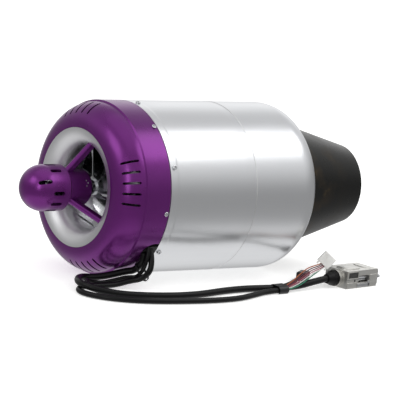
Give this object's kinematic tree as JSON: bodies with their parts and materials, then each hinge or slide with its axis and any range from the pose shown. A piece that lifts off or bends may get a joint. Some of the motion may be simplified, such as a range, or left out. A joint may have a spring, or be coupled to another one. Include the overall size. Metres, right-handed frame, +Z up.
{
  "type": "micro turbojet engine",
  "caption": "Small turbojet engine with a slotted nose dome on three struts, anodised intake cowl, bare cylindrical casing, conical exhaust nozzle and a wiring harness.",
  "frame": {"origin": "on the engine's axis, at the middle of the land on the casing where the mounting band is clamped", "axes": "+X along the engine's axis towards the exhaust, +Z up, +Y to the left seen from the exhaust side"},
  "size_m": [0.35, 0.1939, 0.1539],
  "materials": {
    "violet_anodised": "satin",
    "bare_case": "satin",
    "spun_aluminium": "satin",
    "machined_aluminium": "machined",
    "hot_steel": "heat tinted",
    "steel": "machined",
    "bright_steel": "polished",
    "liner_steel": "heat tinted",
    "black_rubber": "soft gloss",
    "black_jacket": "soft gloss",
    "cast_zinc": "die cast",
    "white_nylon": "satin",
    "black_plastic": "satin",
    "green_board": "gloss",
    "plated_shell": "satin"
  },
  "bodies": {
    "engine": {"intake_cowl": "violet_anodised", "front_case": "bare_case", "rear_case": "bare_case", "case_joint_ring": "bare_case", "strut_spider": "violet_anodised", "intake_bell_mouth": "spun_aluminium", "nose_dome": "violet_anodised", "starter_motor": "steel", "motor_mount_plate": "machined_aluminium", "front_bearing_outer_race": "steel", "rear_bearing_outer_race": "steel", "diffuser": "machined_aluminium", "shaft_tunnel": "machined_aluminium", "combustor_outer_liner": "liner_steel", "combustor_inner_liner": "liner_steel", "combustor_front_plate": "liner_steel", "vaporiser_tubes": "liner_steel", "fuel_ring": "steel", "turbine_stator": "hot_steel", "turbine_shroud": "hot_steel", "exhaust_nozzle": "hot_steel", "tail_cone": "hot_steel", "cowl_screws": "bright_steel", "case_screws": "bright_steel", "board_standoffs": "steel", "control_board": "green_board", "fuel_pump": "machined_aluminium", "solenoid_valves": "steel", "speed_sensor": "black_plastic", "igniter": "steel", "cable_grommet": "black_rubber", "thick_lead": "black_jacket", "plug_lead": "black_jacket", "probe_lead": "black_jacket", "plug_wires": "black_jacket", "harness_tie": "black_plastic", "lead_sleeve": "black_plastic", "hood_lower": "cast_zinc", "hood_upper": "cast_zinc", "connector_socket": "plated_shell", "cable_bushing": "black_rubber", "bushing_clamp": "plated_shell", "white_plug": "white_nylon", "black_plug": "black_plastic"},
    "rotor": {"rotor_shaft": "steel", "compressor_wheel": "machined_aluminium", "compressor_nut": "bright_steel", "turbine_wheel": "hot_steel", "turbine_nut": "steel", "front_spacer": "steel", "rear_spacer": "steel", "front_bearing_inner_race": "steel", "rear_bearing_inner_race": "steel"},
    "front_balls": {"front_bearing_balls": "bright_steel"},
    "rear_balls": {"rear_bearing_balls": "bright_steel"},
    "starter_spindle": {"starter_shaft": "steel"},
    "clutch": {"clutch_cup": "machined_aluminium", "clutch_friction_ring": "black_rubber"},
    "near_jackscrew": {"jackscrew_near": "bright_steel"},
    "far_jackscrew": {"jackscrew_far": "bright_steel"}
  },
  "joints": [
    {"name": "rotor_spin", "type": "hinge", "parent": "engine", "child": "rotor", "pos_m": [0, 0, 0], "axis": [1, 0, 0], "continuous": true},
    {"name": "front_balls_spin", "type": "hinge", "parent": "engine", "child": "front_balls", "pos_m": [0, 0, 0], "axis": [1, 0, 0], "continuous": true},
    {"name": "rear_balls_spin", "type": "hinge", "parent": "engine", "child": "rear_balls", "pos_m": [0, 0, 0], "axis": [1, 0, 0], "continuous": true},
    {"name": "starter_spin", "type": "hinge", "parent": "engine", "child": "starter_spindle", "pos_m": [-0.1, 0, 0], "axis": [1, 0, 0], "continuous": true},
    {"name": "clutch_slide", "type": "slide", "parent": "starter_spindle", "child": "clutch", "axis": [1, 0, 0], "range_m": [0, 0.0024]},
    {"name": "near_jackscrew_spin", "type": "hinge", "parent": "engine", "child": "near_jackscrew", "pos_m": [0.16372, -0.08727, -0.0685], "axis": [0.9866, 0.1633, 0], "continuous": true},
    {"name": "far_jackscrew_spin", "type": "hinge", "parent": "engine", "child": "far_jackscrew", "pos_m": [0.16074, -0.06931, -0.0685], "axis": [0.9866, 0.1633, 0], "continuous": true}
  ],
  "couplings": [
    {"joint": "front_balls_spin", "follows": "rotor_spin", "ratio": 0.38},
    {"joint": "rear_balls_spin", "follows": "rotor_spin", "ratio": 0.38}
  ]
}
